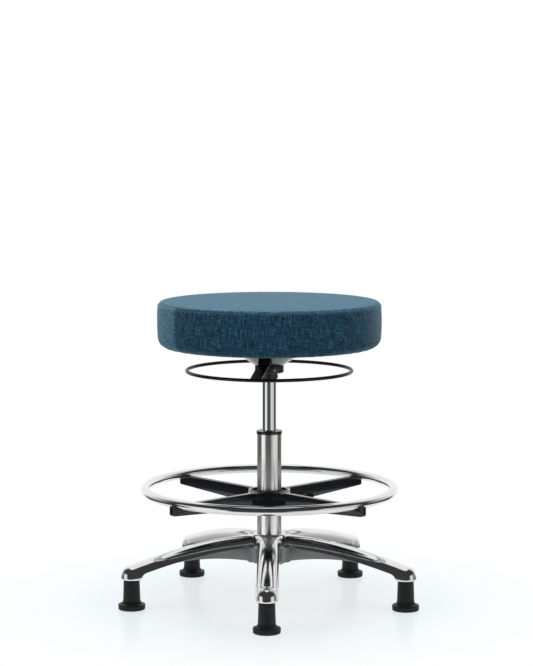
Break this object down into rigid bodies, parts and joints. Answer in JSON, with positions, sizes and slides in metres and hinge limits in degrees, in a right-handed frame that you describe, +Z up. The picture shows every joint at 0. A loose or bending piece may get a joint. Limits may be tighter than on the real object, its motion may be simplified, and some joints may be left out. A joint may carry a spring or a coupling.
{
  "type": "task stool",
  "caption": "Height-adjustable task stool with a round fabric seat, release ring, chromed gas-lift column, sliding foot ring and a polished star base on bell glides.",
  "frame": {"origin": "on the floor, under the middle of the stool's box; the column's axis stands 27.5 mm behind it", "axes": "+Z up along the column, -Y to the front, along the front leg, +X to the right as seen from the front"},
  "size_m": [0.6086, 0.582, 0.619],
  "materials": {
    "tweed": "woven blue melange upholstery cloth",
    "foam": "moulded seat foam",
    "plywood": "plain plywood",
    "black_cloth": "thin black nonwoven cloth",
    "zinc_plate": "zinc plated steel",
    "bright_steel": "bright spun and ground steel",
    "black_paint": "satin black paint",
    "chrome": "bright chrome plating on steel tube",
    "polished_casting": "polished die-cast aluminium, plain cast below",
    "black_plastic": "matte moulded nylon",
    "black_nylon": "glossy moulded nylon",
    "black_rubber": "black rubber",
    "white_nylon": "natural nylon"
  },
  "bodies": {
    "base": {"star_base": "polished_casting", "column_tube": "chrome", "column_bushing": "black_nylon", "bearing_lower_washer": "zinc_plate", "bearing_cage": "white_nylon", "glide_bell_1": "black_plastic", "glide_bell_2": "black_plastic", "glide_bell_3": "black_plastic", "glide_bell_4": "black_plastic", "glide_bell_5": "black_plastic", "glide_sole_1": "black_rubber", "glide_sole_2": "black_rubber", "glide_sole_3": "black_rubber", "glide_sole_4": "black_rubber", "glide_sole_5": "black_rubber", "glide_stem_1": "zinc_plate", "glide_stem_2": "zinc_plate", "glide_stem_3": "zinc_plate", "glide_stem_4": "zinc_plate", "glide_stem_5": "zinc_plate"},
    "swivel_rod": {"piston_rod": "bright_steel", "piston": "zinc_plate", "piston_seal": "black_rubber", "bump_stop": "black_rubber", "bearing_upper_washer": "zinc_plate", "rod_clip": "zinc_plate"},
    "seat": {"seat_cover": "tweed", "seat_foam": "foam", "seat_board": "plywood", "dust_cover": "black_cloth", "tee_nut_1": "zinc_plate", "tee_nut_2": "zinc_plate", "tee_nut_3": "zinc_plate", "tee_nut_4": "zinc_plate", "seat_bolt_1": "zinc_plate", "seat_bolt_2": "zinc_plate", "seat_bolt_3": "zinc_plate", "seat_bolt_4": "zinc_plate", "mechanism_plate": "bright_steel", "taper_socket": "black_paint", "socket_screw": "zinc_plate", "gas_cylinder": "chrome", "valve_body": "zinc_plate", "rod_guide": "white_nylon", "rod_seal": "black_rubber"},
    "release": {"release_ring": "black_paint", "release_strap": "black_paint"},
    "valve": {"valve_pin": "bright_steel"},
    "ring_bush": {"foot_ring_bush": "black_nylon"},
    "foot_ring": {"foot_ring": "chrome", "foot_ring_spider": "black_plastic", "ring_screw_1": "zinc_plate", "ring_screw_2": "zinc_plate", "ring_screw_3": "zinc_plate", "ring_screw_4": "zinc_plate"},
    "clamp_pad": {"clamp_pad": "white_nylon"},
    "clamp_knob": {"clamp_knob": "black_plastic", "clamp_screw": "zinc_plate"}
  },
  "joints": [
    {"name": "seat_swivel", "type": "hinge", "parent": "base", "child": "swivel_rod", "pos_m": [0, 0.0275, 0], "axis": [0, 0, 1], "continuous": true},
    {"name": "seat_height", "type": "slide", "parent": "swivel_rod", "child": "seat", "axis": [0, 0, 1], "range_m": [-0.1, 0.04]},
    {"name": "release_lift", "type": "hinge", "parent": "seat", "child": "release", "pos_m": [-0.00868, -0.02923, 0.5078], "axis": [-0.9885, 0.1513, 0], "range_deg": [0, 4], "stiffness_Nm_per_rad": 10, "springref_deg": -5.73},
    {"name": "valve_press", "type": "slide", "parent": "seat", "child": "valve", "axis": [0, 0, -1], "range_m": [0, 0.0045]},
    {"name": "foot_ring_height", "type": "slide", "parent": "base", "child": "ring_bush", "axis": [0, 0, 1], "range_m": [-0.045, 0.1]},
    {"name": "foot_ring_turn", "type": "hinge", "parent": "ring_bush", "child": "foot_ring", "pos_m": [0, 0.0275, 0], "axis": [0, 0, 1], "continuous": true},
    {"name": "clamp_advance", "type": "slide", "parent": "foot_ring", "child": "clamp_pad", "axis": [1, 0, 0], "range_m": [0, 0.0025]},
    {"name": "clamp_turn", "type": "hinge", "parent": "clamp_pad", "child": "clamp_knob", "pos_m": [0.072, 0.0275, 0.21125], "axis": [1, 0, 0], "range_deg": [0, 720]}
  ],
  "couplings": [
    {"joint": "valve_press", "follows": "release_lift", "m_per_rad": 0.0614},
    {"joint": "clamp_turn", "follows": "clamp_advance", "rad_per_m": 5026.5}
  ]
}
